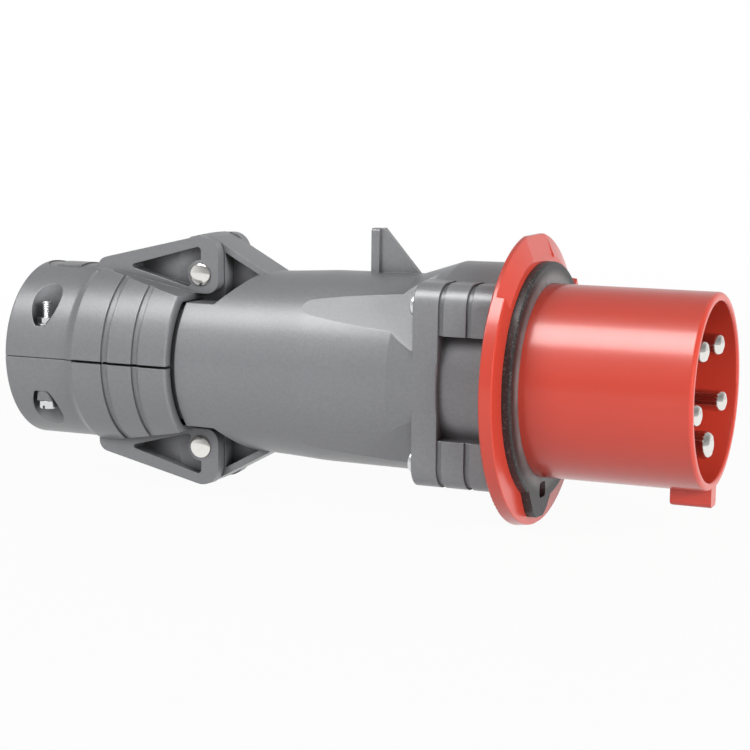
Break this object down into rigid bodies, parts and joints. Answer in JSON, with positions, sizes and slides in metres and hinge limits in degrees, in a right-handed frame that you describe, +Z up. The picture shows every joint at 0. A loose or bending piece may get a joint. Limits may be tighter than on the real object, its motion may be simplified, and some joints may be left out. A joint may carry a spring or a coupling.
{
  "type": "industrial pin and sleeve plug",
  "caption": "Industrial pin and sleeve power plug with a round red sleeve and flange, grey body, screw towers and a hinged two-jaw cable clamp",
  "frame": {"origin": "on the sleeve axis at the front sealing face of the flange gasket", "axes": "+X runs toward the mating end, +Z is up with the key below, the cable leaves toward -X"},
  "size_m": [0.2749, 0.1076, 0.1063],
  "materials": {
    "red_plastic": "glossy",
    "carrier_plastic": "satin",
    "grey_plastic": "satin",
    "dark_plastic": "satin",
    "pin_plastic": "satin",
    "black_rubber": "matte",
    "contact_metal": "nickel plated",
    "screw_steel": "bright"
  },
  "bodies": {
    "handle": {"shroud_housing": "red_plastic", "flange_gasket": "black_rubber", "contact_carrier": "carrier_plastic", "contact_l1": "contact_metal", "contact_l2": "contact_metal", "contact_l3": "contact_metal", "contact_neutral": "contact_metal", "contact_earth": "contact_metal", "terminal_screws": "screw_steel", "handle_housing": "grey_plastic", "housing_seal": "black_rubber", "housing_screws": "screw_steel", "gland_seal": "black_rubber", "gland_washer": "dark_plastic", "gland_nut": "dark_plastic", "upper_hinge_pin": "pin_plastic", "lower_hinge_pin": "pin_plastic"},
    "upper_jaw": {"upper_jaw": "grey_plastic"},
    "lower_jaw": {"lower_jaw": "grey_plastic", "clamp_screws": "screw_steel"},
    "clamp_nuts": {"clamp_nuts": "screw_steel", "clamp_washers": "screw_steel"}
  },
  "joints": [
    {"name": "upper_jaw_hinge", "type": "hinge", "parent": "handle", "child": "upper_jaw", "pos_m": [-0.137, 0, 0.0336], "axis": [0, 1, 0], "range_deg": [0, 2.3]},
    {"name": "lower_jaw_hinge", "type": "hinge", "parent": "handle", "child": "lower_jaw", "pos_m": [-0.137, 0, -0.0336], "axis": [0, -1, 0], "range_deg": [0, 2.3]},
    {"name": "nut_slide", "type": "slide", "parent": "lower_jaw", "child": "clamp_nuts", "axis": [0, 0, 1], "range_m": [0, 0.0054]}
  ],
  "couplings": [
    {"joint": "lower_jaw_hinge", "follows": "upper_jaw_hinge", "ratio": 1},
    {"joint": "nut_slide", "follows": "upper_jaw_hinge", "m_per_rad": 0.1335}
  ]
}
